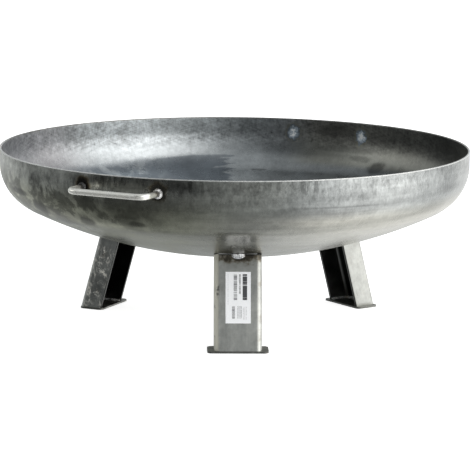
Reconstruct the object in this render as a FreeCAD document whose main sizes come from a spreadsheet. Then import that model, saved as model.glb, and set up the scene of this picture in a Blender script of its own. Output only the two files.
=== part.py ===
import FreeCAD, Part
import math
import os

import Sketcher
from FreeCAD import Vector

# A steel fire bowl: a dished head on three channel legs, with a foot plate under each leg and a
# bar handle on each side. It is welded throughout, so every weld bead is a piece of its own.
#
# Millimetres. The origin is on the floor under the middle of the bowl, and +Z is up. An azimuth is
# the angle about +Z from the -Y direction, which is the front, towards +X. Each leg and handle is
# drawn in a frame of its own: X along the rim, Y inwards to the middle of the bowl, Z up.

SIZES = {
    # The bowl, a torispherical head.
    "bowl_diameter": 800,
    "rim_height": 300,
    "bowl_wall": 3,
    "crown_radius": 800,
    "knuckle_radius": 80,
    "straight_rim": 25,
    # The legs, cold-bent channel standing square to the bowl's underside.
    "leg_width": 78,
    "leg_depth": 40,
    "leg_wall": 4,
    "leg_bend_radius": 8.5,
    "leg_lean": 16,
    "leg_reach": 280.5,
    "fit_up_gap": 0.2,
    "front_leg_azimuth": 1.75,
    "rear_left_leg_azimuth": -115,
    "rear_right_leg_azimuth": 125,
    # The foot plates. The reach is to the outer edge, and the shift is along the plate.
    "plate_width": 100,
    "plate_depth": 45,
    "plate_thickness": 3,
    "plate_corner": 8,
    "front_plate_reach": 283,
    "front_plate_shift": 0,
    "rear_left_plate_reach": 279.5,
    "rear_left_plate_shift": -9,
    "rear_right_plate_reach": 277.5,
    "rear_right_plate_shift": 0,
    # The handles.
    "handle_bar": 10,
    "handle_span": 137,
    "handle_projection": 45,
    "handle_bend_radius": 15,
    "handle_height": 276,
    "front_handle_azimuth": -27.3,
    "rear_handle_azimuth": 154.2,
    # The weld beads.
    "ring_weld_diameter": 19,
    "ring_weld_tip_diameter": 12,
    "ring_weld_height": 4.5,
    "web_weld_length": 20,
    "web_weld_leg": 7,
    "flange_weld_length": 22,
    "flange_weld_leg": 5,
    "foot_weld_leg": 4,
    "weld_root": 2,
    "weld_overlap": 0.5,
    # The sticker on the front leg.
    "label_width": 41,
    "label_height": 84,
    "label_thickness": 0.2,
    "label_drop": 29,
}

doc = FreeCAD.newDocument("fire_bowl")
sheet = doc.addObject("Spreadsheet::Sheet", "Sizes")
for row, (alias, number) in enumerate(SIZES.items(), start=1):
    sheet.set(f"A{row}", alias)
    sheet.set(f"B{row}", str(number))
    sheet.setAlias(f"B{row}", alias)
doc.recompute()

parts = []


def size(expression):
    """The number that an expression of sheet sizes comes to."""
    return float(sheet.evalExpression(expression))


def bind(thing, bindings):
    """Ties properties of a document object to expressions of sheet sizes."""
    for name, expression in bindings.items():
        thing.setExpression(name, expression)


def keep(thing, label):
    """Marks an object as a finished piece, which is written under its label."""
    thing.Label = label
    parts.append(thing)
    return thing


# ---- Frames, as placement expressions ------------------------------------------------------------


def turned(azimuth):
    return f"placement(vector(0; 0; 0); rotation(vector(0; 0; 1); {azimuth}))"


def moved(across, inward, up, tilt="0"):
    return f"placement(vector({across}; {inward}; {up}); rotation(vector(1; 0; 0); {tilt}))"


def leg_frame(name):
    """The leg's frame: its origin is on the floor under the web's outer face, and Z runs up the leg."""
    return f"{turned(f'Sizes.{name}_leg_azimuth')} * {moved('0', '-Sizes.leg_reach', '0', '-Sizes.leg_lean')}"


# ---- Distances that follow from the sizes --------------------------------------------------------

# The bowl's outer profile: the middles of its two arcs, and where the arcs meet.
KNUCKLE_X = "(Sizes.bowl_diameter / 2 - Sizes.knuckle_radius)"
KNUCKLE_Z = "(Sizes.rim_height - Sizes.straight_rim)"
CROWN_RISE = f"sqrt((Sizes.crown_radius - Sizes.knuckle_radius)^2 - {KNUCKLE_X}^2)"
CROWN_Z = f"({KNUCKLE_Z} + {CROWN_RISE})"
MEET_RATIO = "Sizes.crown_radius / (Sizes.crown_radius - Sizes.knuckle_radius)"
INNER_MEET_RATIO = "(Sizes.crown_radius - Sizes.bowl_wall) / (Sizes.crown_radius - Sizes.knuckle_radius)"

# The middle of the bowl's crown in a leg's frame, and the leg's length along its outer face.
CROWN_IN = "(Sizes.leg_reach * cos(Sizes.leg_lean) - {z} * sin(Sizes.leg_lean))".format(z=CROWN_Z)
CROWN_UP = "(Sizes.leg_reach * sin(Sizes.leg_lean) + {z} * cos(Sizes.leg_lean))".format(z=CROWN_Z)
END_DROP = f"sqrt((Sizes.crown_radius + Sizes.fit_up_gap)^2 - ({CROWN_IN} - Sizes.leg_wall)^2)"
LEG_LENGTH = f"({CROWN_UP} - {END_DROP})"

# How far in the bar of a handle starts, inside the bowl's wall, and how far out it reaches.
HALF_SPAN = "(Sizes.handle_span / 2)"
MID_WALL = "(Sizes.bowl_diameter / 2 - Sizes.bowl_wall / 2)"
BAR_START = f"sqrt({MID_WALL}^2 - {HALF_SPAN}^2)"
BAR_REACH = f"(sqrt((Sizes.bowl_diameter / 2)^2 - {HALF_SPAN}^2) + Sizes.handle_projection)"


# ---- Sketches ------------------------------------------------------------------------------------


def new_sketch(body, name, plane, offset=None):
    """A sketch on one of its body's own origin planes, with an optional offset from it."""
    sketch = body.newObject("Sketcher::SketchObject", name)
    feature = next(f for f in body.Origin.OriginFeatures if f.Role == plane)
    sketch.AttachmentSupport = [(feature, "")]
    sketch.MapMode = "FlatFace"
    bind(sketch, {f"AttachmentOffset.Base.{axis}": value for axis, value in (offset or {}).items()})
    doc.recompute()
    return sketch


def pin(sketch, edge, end, point):
    """Fixes one end of an edge at a point whose coordinates are expressions."""
    for kind, expression in zip(("DistanceX", "DistanceY"), point):
        constraint = Sketcher.Constraint(kind, -1, 1, edge, end, size(expression))
        index = sketch.addConstraint(constraint)
        sketch.setExpression(f"Constraints[{index}]", expression)


def arc_between(start, end, radius, turn):
    """The shorter arc between two points. A turn of 1 is counter-clockwise, and -1 is clockwise."""
    chord = end - start
    rise = math.sqrt(max(radius**2 - (chord.Length / 2) ** 2, 0))
    side = Vector(-chord.y, chord.x, 0).normalize() * turn
    middle = (start + end) * 0.5 + side * rise
    first, last = (start, end) if turn > 0 else (end, start)
    angles = [math.atan2(p.y - middle.y, p.x - middle.x) for p in (first, last)]
    return Part.ArcOfCircle(Part.Circle(middle, Vector(0, 0, 1), radius), angles[0], angles[1])


def draw(sketch, steps, closed=True):
    """Draws lines and arcs from point to point, with every size bound to the sheet.

    Each step is (x, y) for a corner, or (x, y, radius, turn) where an arc leads on to the next one.
    """
    count = len(steps)
    edges = []
    for i in range(count if closed else count - 1):
        here = steps[i]
        there = steps[(i + 1) % count]
        start = Vector(size(here[0]), size(here[1]), 0)
        end = Vector(size(there[0]), size(there[1]), 0)
        if len(here) == 2:
            edges.append((sketch.addGeometry(Part.LineSegment(start, end)), 1, 2, None))
            continue
        edge = sketch.addGeometry(arc_between(start, end, size(here[2]), here[3]))
        ends = (1, 2) if here[3] > 0 else (2, 1)
        edges.append((edge, *ends, here[2]))
    for i, (edge, first, last, radius) in enumerate(edges):
        pin(sketch, edge, first, steps[i][:2])
        if radius:
            index = sketch.addConstraint(Sketcher.Constraint("Radius", edge, size(radius)))
            sketch.setExpression(f"Constraints[{index}]", radius)
        if i + 1 < len(edges) or closed:
            after = edges[(i + 1) % len(edges)]
            sketch.addConstraint(Sketcher.Constraint("Coincident", edge, last, after[0], after[1]))
        else:
            pin(sketch, edge, last, steps[-1])
    return sketch


def new_body(name, placement):
    body = doc.addObject("PartDesign::Body", name)
    body.setExpression("Placement", placement)
    return body


def pad(body, sketch, length, symmetric=False):
    feature = body.newObject("PartDesign::Pad", f"{body.Name}_pad")
    feature.Profile = sketch
    feature.SideType = "Symmetric" if symmetric else "One side"
    feature.setExpression("Length", length)
    return feature


def cut(name, base, tool):
    feature = doc.addObject("Part::Cut", name)
    feature.Base = base
    feature.Tool = tool
    return feature


# ---- The bowl ------------------------------------------------------------------------------------


def make_bowl():
    """A torispherical head with its rim up, turned from its section."""
    body = new_body("bowl", turned("0"))
    inner_crown = "Sizes.crown_radius - Sizes.bowl_wall"
    inner_knuckle = "Sizes.knuckle_radius - Sizes.bowl_wall"
    outside = "Sizes.bowl_diameter / 2"
    inside = "Sizes.bowl_diameter / 2 - Sizes.bowl_wall"
    outer_meet = (f"{KNUCKLE_X} * {MEET_RATIO}", f"{CROWN_Z} - {CROWN_RISE} * {MEET_RATIO}")
    inner_meet = (f"{KNUCKLE_X} * {INNER_MEET_RATIO}", f"{CROWN_Z} - {CROWN_RISE} * {INNER_MEET_RATIO}")
    section = [
        ("0", f"{CROWN_Z} - Sizes.crown_radius", "Sizes.crown_radius", 1),
        (*outer_meet, "Sizes.knuckle_radius", 1),
        (outside, KNUCKLE_Z),
        (outside, "Sizes.rim_height"),
        (inside, "Sizes.rim_height"),
        (inside, KNUCKLE_Z, inner_knuckle, -1),
        (*inner_meet, inner_crown, -1),
        ("0", f"{CROWN_Z} - Sizes.crown_radius + Sizes.bowl_wall"),
    ]
    sketch = draw(new_sketch(body, "bowl_section", "XZ_Plane"), section)
    dish = body.newObject("PartDesign::Revolution", "bowl_dish")
    dish.Profile = sketch
    dish.ReferenceAxis = (sketch, ["V_Axis"])
    dish.Angle = 360
    return keep(body, "bowl")


# ---- The legs and what belongs to each -----------------------------------------------------------


def make_leg(name):
    """A channel cut square at the top, and mitred at the bottom to stand flat on its foot plate."""
    body = new_body(f"{name}_leg", leg_frame(name))
    half = "Sizes.leg_width / 2"
    flat = "Sizes.leg_width / 2 - Sizes.leg_bend_radius"
    inner = "Sizes.leg_width / 2 - Sizes.leg_wall"
    bend = "Sizes.leg_bend_radius"
    inner_bend = "Sizes.leg_bend_radius - Sizes.leg_wall"
    section = [
        (f"-({half})", "Sizes.leg_depth"),
        (f"-({half})", bend, bend, 1),
        (f"-({flat})", "0"),
        (flat, "0", bend, 1),
        (half, bend),
        (half, "Sizes.leg_depth"),
        (inner, "Sizes.leg_depth"),
        (inner, bend, inner_bend, -1),
        (flat, "Sizes.leg_wall"),
        (f"-({flat})", "Sizes.leg_wall", inner_bend, -1),
        (f"-({inner})", bend),
        (f"-({inner})", "Sizes.leg_depth"),
    ]
    sketch = draw(new_sketch(body, f"{name}_leg_section", "XY_Plane"), section)
    pad(body, sketch, LEG_LENGTH)
    doc.recompute()
    whole = body.Shape.Volume

    # The mitre line rises inwards, because the leg leans in over its foot.
    beyond = "(Sizes.leg_depth + 10)"
    foot = "Sizes.plate_thickness / cos(Sizes.leg_lean)"
    mitre = [
        ("-10", "-10"),
        (beyond, "-10"),
        (beyond, f"{foot} + {beyond} * tan(Sizes.leg_lean)"),
        ("-10", f"{foot} - 10 * tan(Sizes.leg_lean)"),
    ]
    wedge = draw(new_sketch(body, f"{name}_leg_mitre_line", "YZ_Plane"), mitre)
    pocket = body.newObject("PartDesign::Pocket", f"{name}_leg_mitre")
    pocket.Profile = wedge
    pocket.SideType = "Symmetric"
    pocket.setExpression("Length", "Sizes.leg_width + 10")
    doc.recompute()
    if not body.Shape.Volume < whole:
        raise RuntimeError(f"the mitre of {name}_leg cut nothing")
    return keep(body, f"{name}_leg")


def make_foot_plate(name):
    """A flat plate with rounded corners, lying on the floor."""
    corner = "Sizes.plate_corner"
    place = moved(f"Sizes.{name}_plate_shift", f"-Sizes.{name}_plate_reach", "0")
    body = new_body(f"{name}_foot_plate", f"{turned(f'Sizes.{name}_leg_azimuth')} * {place}")
    half = "Sizes.plate_width / 2"
    outline = [
        (f"-({half}) + {corner}", "0"),
        (f"{half} - {corner}", "0", corner, 1),
        (half, corner),
        (half, f"Sizes.plate_depth - {corner}", corner, 1),
        (f"{half} - {corner}", "Sizes.plate_depth"),
        (f"-({half}) + {corner}", "Sizes.plate_depth", corner, 1),
        (f"-({half})", f"Sizes.plate_depth - {corner}"),
        (f"-({half})", corner, corner, 1),
    ]
    sketch = draw(new_sketch(body, f"{name}_foot_plate_outline", "XY_Plane"), outline)
    pad(body, sketch, "Sizes.plate_thickness")
    return keep(body, f"{name}_foot_plate")


def make_foot_weld(name, leg):
    """A bead round the inside of the channel, on the foot plate, three-cornered in section."""
    web_foot = "-Sizes.leg_reach + Sizes.plate_thickness * tan(Sizes.leg_lean)"
    place = moved("0", web_foot, "Sizes.plate_thickness")
    body = new_body(f"{name}_foot_weld_blank", f"{turned(f'Sizes.{name}_leg_azimuth')} * {place}")
    height = "(Sizes.foot_weld_leg + Sizes.weld_overlap)"
    side = "(Sizes.leg_width / 2 - Sizes.leg_wall + Sizes.weld_overlap)"
    web = "(Sizes.leg_wall / cos(Sizes.leg_lean) - Sizes.weld_overlap)"
    tips = "(Sizes.leg_depth / cos(Sizes.leg_lean) - Sizes.weld_overlap)"
    blank = [
        (f"-{side}", web),
        (side, web),
        (side, tips),
        (f"-{side}", tips),
    ]
    sketch = draw(new_sketch(body, f"{name}_foot_weld_outline", "XY_Plane"), blank)
    pad(body, sketch, height)
    doc.recompute()
    whole = body.Shape.Volume

    # The pocket narrows downwards at 45 degrees, which leaves the bead along the three walls.
    # Its open end is the bead's height beyond the tips, so that it doesn't narrow there.
    web_above = f"({web} + {height} * tan(Sizes.leg_lean))"
    middle = [
        (f"-{side}", web_above),
        (side, web_above),
        (side, f"{tips} + 2 * {height}"),
        (f"-{side}", f"{tips} + 2 * {height}"),
    ]
    opening = draw(new_sketch(body, f"{name}_foot_weld_middle", "XY_Plane", {"z": height}), middle)
    pocket = body.newObject("PartDesign::Pocket", f"{name}_foot_weld_pocket")
    pocket.Profile = opening
    pocket.setExpression("Length", height)
    pocket.TaperAngle = -45
    doc.recompute()
    if not body.Shape.Volume < whole * 0.5:
        raise RuntimeError(f"the pocket of {name}_foot_weld cut too little")
    return keep(cut(f"{name}_foot_weld", body, leg), f"{name}_foot_weld")


def make_web_weld(name, bowl):
    """A short bead in the corner between the web's outer face and the bowl."""
    body = new_body(f"{name}_leg_web_weld_blank", leg_frame(name))
    top = f"({LEG_LENGTH} + Sizes.weld_root)"
    triangle = [
        ("0", f"{LEG_LENGTH} - Sizes.web_weld_leg"),
        ("0", top),
        ("-Sizes.web_weld_leg", top),
    ]
    sketch = draw(new_sketch(body, f"{name}_leg_web_weld_section", "YZ_Plane"), triangle)
    pad(body, sketch, "Sizes.web_weld_length", symmetric=True)
    return keep(cut(f"{name}_leg_web_weld", body, bowl), f"{name}_leg_web_weld")


def make_flange_welds(name, bowl):
    """A bead in the corner between each flange's inner face and the bowl."""
    body = new_body(f"{name}_leg_flange_welds_blank", leg_frame(name))
    top = f"({LEG_LENGTH} + Sizes.weld_root)"
    low = f"({LEG_LENGTH} - Sizes.flange_weld_leg)"
    inner = "(Sizes.leg_width / 2 - Sizes.leg_wall)"
    offset = {"z": "-Sizes.leg_wall - (Sizes.leg_depth - Sizes.leg_wall) / 2"}
    sketch = new_sketch(body, f"{name}_leg_flange_welds_section", "XZ_Plane", offset)
    for side in ("", "-"):
        triangle = [
            (f"{side}{inner}", low),
            (f"{side}{inner}", top),
            (f"{side}({inner} - Sizes.flange_weld_leg)", top),
        ]
        draw(sketch, triangle)
    pad(body, sketch, "Sizes.flange_weld_length", symmetric=True)
    return keep(cut(f"{name}_leg_flange_welds", body, bowl), f"{name}_leg_flange_welds")


# ---- The handles ---------------------------------------------------------------------------------


def make_handle(name, bowl):
    """A round bar bent to a flat U, with both ends shaped to the bowl's side."""
    placement = f"{turned(f'Sizes.{name}_handle_azimuth')} * {moved('0', '0', 'Sizes.handle_height')}"
    body = new_body(f"{name}_handle_bar", placement)
    bend = "Sizes.handle_bend_radius"
    route = [
        (f"-{HALF_SPAN}", f"-{BAR_START}"),
        (f"-{HALF_SPAN}", f"-({BAR_REACH} - {bend})", bend, 1),
        (f"-({HALF_SPAN} - {bend})", f"-{BAR_REACH}"),
        (f"{HALF_SPAN} - {bend}", f"-{BAR_REACH}", bend, 1),
        (HALF_SPAN, f"-({BAR_REACH} - {bend})"),
        (HALF_SPAN, f"-{BAR_START}"),
    ]
    path = draw(new_sketch(body, f"{name}_handle_path", "XY_Plane"), route, closed=False)
    offset = {"x": f"-{HALF_SPAN}", "z": BAR_START}
    ring = new_sketch(body, f"{name}_handle_section", "XZ_Plane", offset)
    circle = ring.addGeometry(Part.Circle(Vector(0, 0, 0), Vector(0, 0, 1), size("Sizes.handle_bar / 2")))
    ring.addConstraint(Sketcher.Constraint("Coincident", circle, 3, -1, 1))
    index = ring.addConstraint(Sketcher.Constraint("Radius", circle, size("Sizes.handle_bar / 2")))
    ring.setExpression(f"Constraints[{index}]", "Sizes.handle_bar / 2")
    doc.recompute()
    pipe = body.newObject("PartDesign::AdditivePipe", f"{name}_handle_pipe")
    pipe.Profile = ring
    pipe.Spine = (path, [f"Edge{i}" for i in range(1, len(route))])
    return keep(cut(f"{name}_handle", body, bowl), f"{name}_handle")


def make_handle_weld(name, side, bowl, handle):
    """A ring of weld round one end of a handle's bar, standing square to the bowl's side."""
    half_angle = f"asin({HALF_SPAN} / (Sizes.bowl_diameter / 2)) / 1 deg"
    sign = "-" if side == "left" else "+"
    azimuth = f"Sizes.{name}_handle_azimuth {sign} {half_angle}"
    ring = doc.addObject("Part::Cone", f"{name}_handle_{side}_weld_blank")
    bind(
        ring,
        {
            "Radius1": "Sizes.ring_weld_diameter / 2",
            "Radius2": "Sizes.ring_weld_tip_diameter / 2",
            "Height": "Sizes.bowl_wall / 2 + Sizes.ring_weld_height",
            "Placement": f"{turned(azimuth)} * {moved('0', f'-{MID_WALL}', 'Sizes.handle_height', '90')}",
        },
    )
    outside = cut(f"{name}_handle_{side}_weld_outside", ring, bowl)
    return keep(cut(f"{name}_handle_{side}_weld", outside, handle), f"{name}_handle_{side}_weld")


# ---- The label -----------------------------------------------------------------------------------


def make_label():
    """A paper sticker on the outer face of the front leg's web."""
    label = doc.addObject("Part::Box", "product_label")
    up = f"{LEG_LENGTH} - Sizes.label_drop - Sizes.label_height"
    place = moved("-Sizes.label_width / 2", "-Sizes.label_thickness", up)
    bind(
        label,
        {
            "Length": "Sizes.label_width",
            "Width": "Sizes.label_thickness",
            "Height": "Sizes.label_height",
            "Placement": f"{leg_frame('front')} * {place}",
        },
    )
    return keep(label, "product_label")


bowl = make_bowl()
for leg_name in ("front", "rear_left", "rear_right"):
    leg = make_leg(leg_name)
    make_foot_plate(leg_name)
    make_foot_weld(leg_name, leg)
    make_web_weld(leg_name, bowl)
    make_flange_welds(leg_name, bowl)
for handle_name in ("front", "rear"):
    handle = make_handle(handle_name, bowl)
    for weld_side in ("left", "right"):
        make_handle_weld(handle_name, weld_side, bowl, handle)
make_label()
doc.recompute()

for thing in doc.Objects:
    if {"Invalid", "Error"} & set(thing.State):
        raise RuntimeError(f"{thing.Label} failed: {thing.State}")
for piece in parts:
    if piece.Shape.isNull() or not piece.Shape.isValid():
        raise RuntimeError(f"{piece.Label} has no valid shape")

os.makedirs("parts", exist_ok=True)
for piece in parts:
    piece.Shape.exportStep(f"parts/{piece.Label}.step")
    box = piece.Shape.optimalBoundingBox()
    print(
        f"{piece.Label}: {len(piece.Shape.Solids)} solid, {piece.Shape.Volume:.1f} mm3, "
        f"x {box.XMin:.1f} to {box.XMax:.1f}, y {box.YMin:.1f} to {box.YMax:.1f}, "
        f"z {box.ZMin:.1f} to {box.ZMax:.1f}"
    )
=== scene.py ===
import math

import bmesh
import bpy
import numpy as np
from mathutils import Matrix, Vector
from mathutils import noise as mnoise


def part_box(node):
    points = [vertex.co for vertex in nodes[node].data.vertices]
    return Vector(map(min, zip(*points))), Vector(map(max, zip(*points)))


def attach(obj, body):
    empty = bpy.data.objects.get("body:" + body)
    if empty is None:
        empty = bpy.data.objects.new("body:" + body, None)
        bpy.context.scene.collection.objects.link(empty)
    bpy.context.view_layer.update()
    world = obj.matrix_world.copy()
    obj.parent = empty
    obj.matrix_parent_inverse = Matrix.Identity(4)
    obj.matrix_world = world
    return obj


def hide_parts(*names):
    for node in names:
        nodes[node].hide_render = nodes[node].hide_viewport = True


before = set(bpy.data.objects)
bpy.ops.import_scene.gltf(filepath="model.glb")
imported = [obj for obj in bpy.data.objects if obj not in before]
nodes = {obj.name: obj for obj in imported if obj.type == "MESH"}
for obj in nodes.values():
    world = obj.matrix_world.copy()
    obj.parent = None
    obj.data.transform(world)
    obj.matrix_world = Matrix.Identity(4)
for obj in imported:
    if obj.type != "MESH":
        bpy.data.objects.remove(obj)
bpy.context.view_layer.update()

legs = ("front", "rear_left", "rear_right")
handles = ("front", "rear")


# ---------------------------------------------------------------- places read from the frame
def middle(node):
    low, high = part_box(node)
    return (low + high) / 2


def outward(point):
    """The horizontal direction from the bowl's axis to a point."""
    return Vector((point.x, point.y, 0)).normalized()


def along_rim(direction):
    return Vector((-direction.y, direction.x, 0))


def azimuth(point):
    """Degrees from the front, -Y, towards +X."""
    return math.degrees(math.atan2(point.x, -point.y))


bowl_low, bowl_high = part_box("bowl")
RADIUS = (bowl_high.x - bowl_low.x) / 2
RIM_Z = bowl_high.z
BOTTOM_Z = bowl_low.z
WALL = 0.003
RIM_EDGE = 0.0006  # how far the rim's two edges are broken
# A dished head: the crown's radius is the bowl's diameter, the knuckle's a tenth of that. Both
# are radii of the outside.
KNUCKLE = RADIUS / 5
CROWN = RADIUS * 2
KNUCKLE_R = RADIUS - KNUCKLE
CROWN_Z = BOTTOM_Z + CROWN
TANGENT = math.asin(KNUCKLE_R / (CROWN - KNUCKLE))
KNUCKLE_Z = CROWN_Z - (CROWN - KNUCKLE) * math.cos(TANGENT)

CHANNEL_DEPTH = 0.040
CHANNEL_HALF = 0.039  # half the width of a leg's web
CHANNEL_WALL = 0.004
RING_RADIUS = 0.0075  # of the middle of the ring weld round a handle's bar
RIPPLE_REACH = 0.004  # this far to its side, a ripple is shifted by RIPPLE_SHIFT of the pitch
RIPPLE_SHIFT = 0.35


# ---------------------------------------------------------------- shader nodes
class Net:
    """Short ways to add shader nodes to a tree."""

    def __init__(self, tree):
        self.tree = tree
        tree.nodes.clear()

    def put(self, socket, value):
        if isinstance(value, bpy.types.NodeSocket):
            self.tree.links.new(value, socket)
        elif value is not None:
            if socket.type == "RGBA" and len(value) == 3:
                value = (*value, 1)
            socket.default_value = value

    def add(self, kind, settings=(), **inputs):
        node = self.tree.nodes.new(kind)
        for key, value in dict(settings).items():
            setattr(node, key, value)
        for key, value in inputs.items():
            self.put(node.inputs[key.replace("_", " ")], value)
        return node

    def math(self, operation, *values, clamp=False):
        node = self.add("ShaderNodeMath", {"operation": operation, "use_clamp": clamp})
        for socket, value in zip(node.inputs, values):
            self.put(socket, value)
        return node.outputs[0]

    def vector(self, operation, *values, scale=None):
        node = self.add("ShaderNodeVectorMath", {"operation": operation})
        for socket, value in zip(node.inputs, values):
            self.put(socket, value)
        if scale is not None:
            self.put(node.inputs["Scale"], scale)
        scalar = operation in ("DOT_PRODUCT", "LENGTH", "DISTANCE")
        return node.outputs["Value" if scalar else "Vector"]

    def noise(self, at, scale, detail=3.0, rough=0.5, offset=(0, 0, 0), twist=0.0):
        moved = self.vector("ADD", at, offset)
        return self.add("ShaderNodeTexNoise", Vector=moved, Scale=scale, Detail=detail,
                        Roughness=rough, Distortion=twist).outputs["Fac"]

    def smooth(self, value, low, high, start=0.0, end=1.0):
        node = self.add("ShaderNodeMapRange", {"interpolation_type": "SMOOTHSTEP"})
        for socket, number in zip(node.inputs, (value, low, high, start, end)):
            self.put(socket, number)
        return node.outputs[0]

    def ramp(self, value, stops, interpolation="EASE"):
        node = self.add("ShaderNodeValToRGB", Fac=value)
        band = node.color_ramp
        band.interpolation = interpolation
        for _ in range(len(stops) - 2):
            band.elements.new(0.5)
        for element, (place, colour) in zip(band.elements, stops):
            element.position = place
            element.color = (*colour, 1) if hasattr(colour, "__len__") else (colour,) * 3 + (1,)
        return node.outputs["Color"]

    def mix(self, share, first, second, blend="MIX"):
        node = self.add("ShaderNodeMix", {"data_type": "RGBA", "blend_type": blend})
        self.put(node.inputs[0], share)
        self.put(node.inputs[6], first)
        self.put(node.inputs[7], second)
        return node.outputs[2]

    def between(self, share, first, second):
        node = self.add("ShaderNodeMix", {"data_type": "FLOAT"})
        self.put(node.inputs[0], share)
        self.put(node.inputs[2], first)
        self.put(node.inputs[3], second)
        return node.outputs[0]

    def bump(self, height, strength, distance, normal=None):
        return self.add("ShaderNodeBump", Height=height, Strength=strength, Distance=distance,
                        Normal=normal).outputs["Normal"]

    def multiply(self, value, *others):
        for other in others:
            value = self.math("MULTIPLY", value, other)
        return value

    def sum(self, value, *others):
        for other in others:
            value = self.math("ADD", value, other)
        return value

    def vary(self, value, noise, amount):
        """The value plus the noise's swing about its middle."""
        return self.math("MULTIPLY_ADD", self.math("SUBTRACT", noise, 0.5), amount, value)

    def linear(self, value, slope, start):
        return self.math("MULTIPLY_ADD", value, slope, start)

    def darken(self, tone, mask, depth):
        """The tone, less that share of it where the mask is 1."""
        return self.multiply(tone, self.linear(mask, -depth, 1.0))

    def absolute(self, value):
        return self.math("ABSOLUTE", value)

    def shade(self, colour, tone):
        """The colour times a brightness that may pass 1."""
        node = self.add("ShaderNodeVectorMath", {"operation": "SCALE"})
        self.put(node.inputs[0], colour)
        self.put(node.inputs["Scale"], tone)
        return node.outputs[0]

    def most(self, value, *others):
        for other in others:
            value = self.math("MAXIMUM", value, other)
        return value


class Surface(Net):
    """A material on object coordinates, which are the row frame in metres."""

    def __init__(self, name):
        self.material = bpy.data.materials.new(name)
        self.material.use_nodes = True
        super().__init__(self.material.node_tree)
        self.at = self.add("ShaderNodeTexCoord").outputs["Object"]
        parts = self.add("ShaderNodeSeparateXYZ", Vector=self.at)
        self.x, self.y, self.z = parts.outputs

    def finish(self, colour, roughness, metallic=1.0, normal=None, **others):
        shader = self.add("ShaderNodeBsdfPrincipled", Base_Color=colour, Roughness=roughness,
                          Metallic=metallic, Normal=normal, **others)
        output = self.add("ShaderNodeOutputMaterial")
        self.tree.links.new(shader.outputs["BSDF"], output.inputs["Surface"])
        return self.material

    def along(self, origin, direction):
        """Metres from a point along a direction."""
        return self.vector("DOT_PRODUCT", self.vector("SUBTRACT", self.at, tuple(origin)),
                           tuple(direction))

    def spot(self, centre, half_sizes, edge, wobble, wobble_scale, offset=0.0):
        """A soft-edged oval on the bowl: centre (azimuth, height), half sizes in metres, an edge
        width as a share of the size, and how far noise pushes the edge about."""
        degrees, height = centre
        angle = math.radians(degrees)
        out = Vector((math.sin(angle), -math.cos(angle), 0))
        across = self.vector("DOT_PRODUCT", self.at, tuple(along_rim(out)))
        near = self.vector("DOT_PRODUCT", self.at, tuple(out))
        u = self.math("DIVIDE", across, half_sizes[0])
        v = self.math("DIVIDE", self.math("SUBTRACT", self.z, height), half_sizes[1])
        far = self.math("SQRT", self.sum(self.multiply(u, u), self.multiply(v, v)))
        push = self.noise(self.at, wobble_scale, 5.0, 0.6, (offset, degrees * 0.01, 0))
        far = self.vary(far, push, wobble)
        inside = self.smooth(far, 1 + edge, 1 - edge)
        return self.multiply(inside, self.smooth(near, 0, 0.05))

    def heat(self, colour, centre, core, radius, strength=1.0, offset=0.0, run=None):
        """Burnt scale round a weld: black against it, then brown, fading out at the radius. run is
        the direction of a long weld."""
        gap = self.vector("SUBTRACT", self.at, tuple(centre))
        if run is not None:
            along = self.vector("DOT_PRODUCT", gap, tuple(run))
            back = self.vector("SCALE", tuple(run), scale=self.multiply(along, -0.55))
            gap = self.vector("ADD", gap, back)
        away = self.vector("LENGTH", gap)
        far = self.math("DIVIDE", self.math("SUBTRACT", away, core), radius - core)
        push = self.noise(self.at, 90.0, 5.0, 0.65, (offset, 0, 0))
        far = self.vary(far, push, 1.7)
        tint = self.ramp(far, [(0.0, (0.030, 0.028, 0.024)), (0.30, (0.065, 0.055, 0.040)),
                               (0.55, (0.17, 0.14, 0.095)), (0.85, (0.30, 0.275, 0.21))])
        share = self.multiply(self.smooth(far, 1.0, 0.35), strength)
        return self.mix(share, colour, tint)


# ---------------------------------------------------------------- the bowl
def profile_point(arc, inner):
    """Radius, height and outward normal (r, z) at a place along the wall: 0 is the rim, 1 the
    tangent of wall and knuckle, 2 that of knuckle and crown, 3 the middle."""
    t = WALL if inner else 0.0
    if arc <= 1:
        return RADIUS - t, RIM_Z + (KNUCKLE_Z - RIM_Z) * arc, 1.0, 0.0
    if arc <= 2:
        turn = (arc - 1) * (math.pi / 2 - TANGENT)
        size = KNUCKLE - t
        return (KNUCKLE_R + size * math.cos(turn), KNUCKLE_Z - size * math.sin(turn),
                math.cos(turn), -math.sin(turn))
    turn = TANGENT * (3 - arc)
    size = CROWN - t
    return size * math.sin(turn), CROWN_Z - size * math.cos(turn), math.sin(turn), -math.cos(turn)


def dent(x, y, z):
    """How far the pressed sheet stands in from its true shape, in metres: broad hammering and
    slow waves along the wall. It is never negative, so that the bowl keeps its size."""
    broad = mnoise.noise(Vector((x * 5.0, y * 5.0, z * 5.0 + 3.0)))
    waves = mnoise.noise(Vector((x * 2.2, y * 2.2, z * 26.0 + 9.0)))
    small = mnoise.noise(Vector((x * 17.0, y * 17.0, z * 17.0 + 5.0)))
    return 0.00016 + 0.00022 * broad * 0.5 + 0.00012 * waves + 0.000035 * small


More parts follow.
